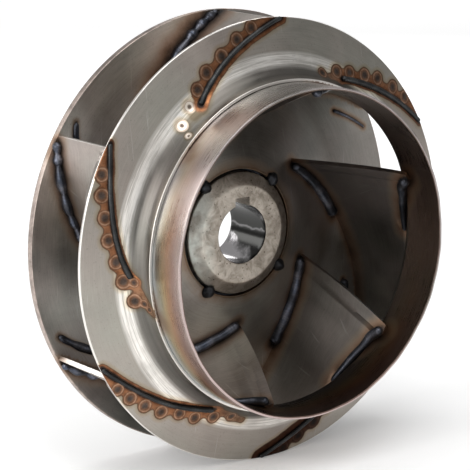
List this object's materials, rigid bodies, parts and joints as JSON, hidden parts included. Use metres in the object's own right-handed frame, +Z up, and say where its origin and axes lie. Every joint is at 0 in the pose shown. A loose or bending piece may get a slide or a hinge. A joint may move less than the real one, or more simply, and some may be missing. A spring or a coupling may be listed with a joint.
{
  "type": "pump impeller",
  "caption": "Closed radial pump impeller welded from sheet steel: dished back plate, keyed hub, swept blades, spun front shroud and an inlet collar.",
  "frame": {"origin": "on the shaft axis at the hub's back face", "axes": "+Y along the shaft from the inlet eye to the back plate, +Z up through the keyway"},
  "size_m": [0.2998, 0.1191, 0.2998],
  "materials": {
    "brushed_sheet": "brushed, with heat tint by the welds",
    "dull_sheet": "dull mill finish",
    "turned_steel": "turned",
    "weld_metal": "scaled weld bead"
  },
  "bodies": {
    "root": {"back_plate": "dull_sheet", "hub": "turned_steel", "front_shroud": "brushed_sheet", "inlet_collar": "brushed_sheet", "blade_1": "dull_sheet", "blade_2": "dull_sheet", "blade_3": "dull_sheet", "blade_4": "dull_sheet", "blade_5": "dull_sheet", "blade_6": "dull_sheet", "root_fillet_1": "weld_metal", "root_fillet_2": "weld_metal", "root_fillet_3": "weld_metal", "root_fillet_4": "weld_metal", "root_fillet_5": "weld_metal", "root_fillet_6": "weld_metal", "inlet_fillet_1": "weld_metal", "inlet_fillet_2": "weld_metal", "inlet_fillet_3": "weld_metal", "inlet_fillet_4": "weld_metal", "inlet_fillet_5": "weld_metal", "inlet_fillet_6": "weld_metal", "stitch_weld_1": "weld_metal", "stitch_weld_2": "weld_metal", "stitch_weld_3": "weld_metal", "stitch_weld_4": "weld_metal", "stitch_weld_5": "weld_metal", "stitch_weld_6": "weld_metal", "outlet_weld_1": "weld_metal", "outlet_weld_2": "weld_metal", "outlet_weld_3": "weld_metal", "outlet_weld_4": "weld_metal", "outlet_weld_5": "weld_metal", "outlet_weld_6": "weld_metal", "shroud_seam_1": "weld_metal", "shroud_seam_2": "weld_metal", "shroud_seam_3": "weld_metal", "shroud_seam_4": "weld_metal", "shroud_seam_5": "weld_metal", "shroud_seam_6": "weld_metal", "hub_tack_1": "weld_metal", "hub_tack_2": "weld_metal", "hub_tack_3": "weld_metal", "hub_tack_4": "weld_metal", "hub_weld": "weld_metal"}
  },
  "joints": []
}
